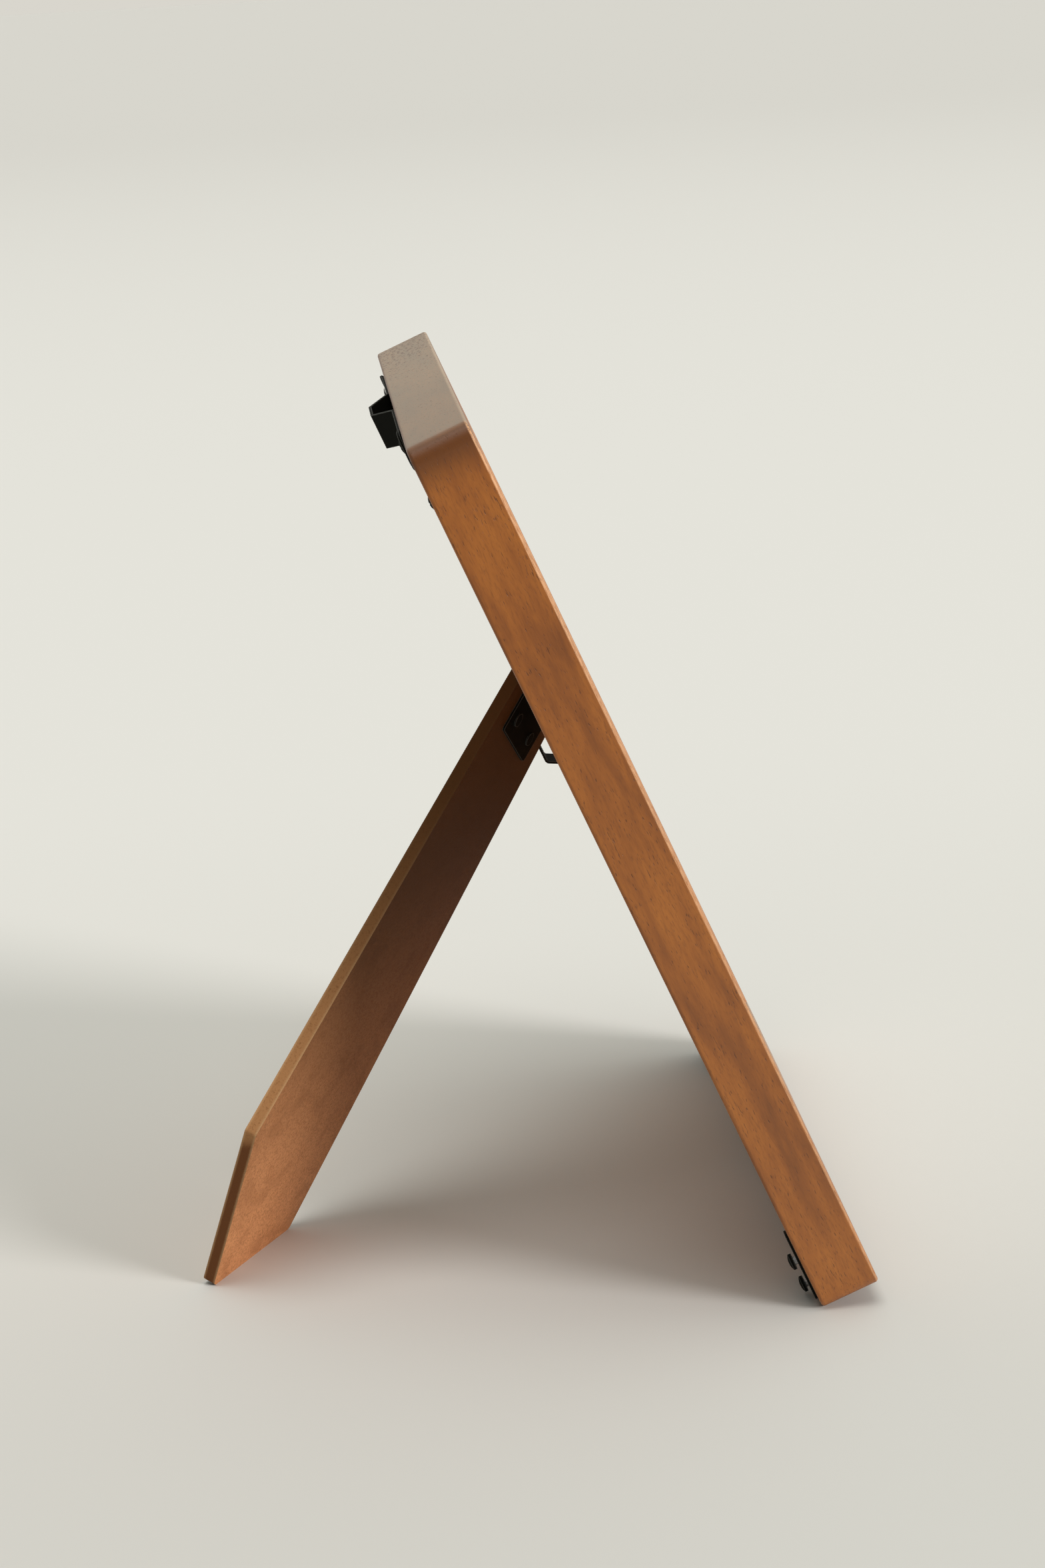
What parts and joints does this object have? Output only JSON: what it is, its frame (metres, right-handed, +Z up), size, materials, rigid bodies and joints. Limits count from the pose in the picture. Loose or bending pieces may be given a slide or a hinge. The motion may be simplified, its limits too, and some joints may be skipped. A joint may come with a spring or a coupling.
{
  "type": "easel back photo frame",
  "caption": "Wooden photo frame leaning back on a slant-hinged hardboard leg, with black strap hangers for hanging either way up and a bare print behind glass.",
  "frame": {"origin": "middle of the bounding box at table level, with the leg out", "axes": "+Z up from the table, -Y the way the glass faces, +X to the right as seen from the front"},
  "size_m": [0.174, 0.1582, 0.2124],
  "materials": {
    "oiled_wood": "satin",
    "hardboard": "matte",
    "black_metal": "satin",
    "bright_steel": "satin",
    "clear_glass": "gloss",
    "bare_paper": "matte"
  },
  "bodies": {
    "frame": {"left_stile": "oiled_wood", "right_stile": "oiled_wood", "top_rail": "oiled_wood", "bottom_rail": "oiled_wood", "mitre_v_nails": "bright_steel", "glass_pane": "clear_glass", "photo_print": "bare_paper", "backing_board": "hardboard", "flex_points": "bright_steel", "hinge_fixed_leaf": "black_metal", "hinge_pin": "bright_steel", "fixed_leaf_rivets": "black_metal", "top_hanger": "black_metal", "side_hanger": "black_metal", "hanger_screws": "black_metal", "upper_left_plate": "black_metal", "upper_right_plate": "black_metal", "lower_left_plate": "black_metal", "lower_right_plate": "black_metal", "plate_pan_screws": "black_metal", "plate_flat_screws": "black_metal"},
    "strut": {"easel_strut": "hardboard", "hinge_moving_leaf": "black_metal", "moving_leaf_rivets": "black_metal"}
  },
  "joints": [
    {"name": "strut_hinge", "type": "hinge", "parent": "frame", "child": "strut", "pos_m": [0.0089, -0.01515, 0.1269], "axis": [-0.7979, 0.2277, 0.5581], "range_deg": [0, 52]}
  ]
}
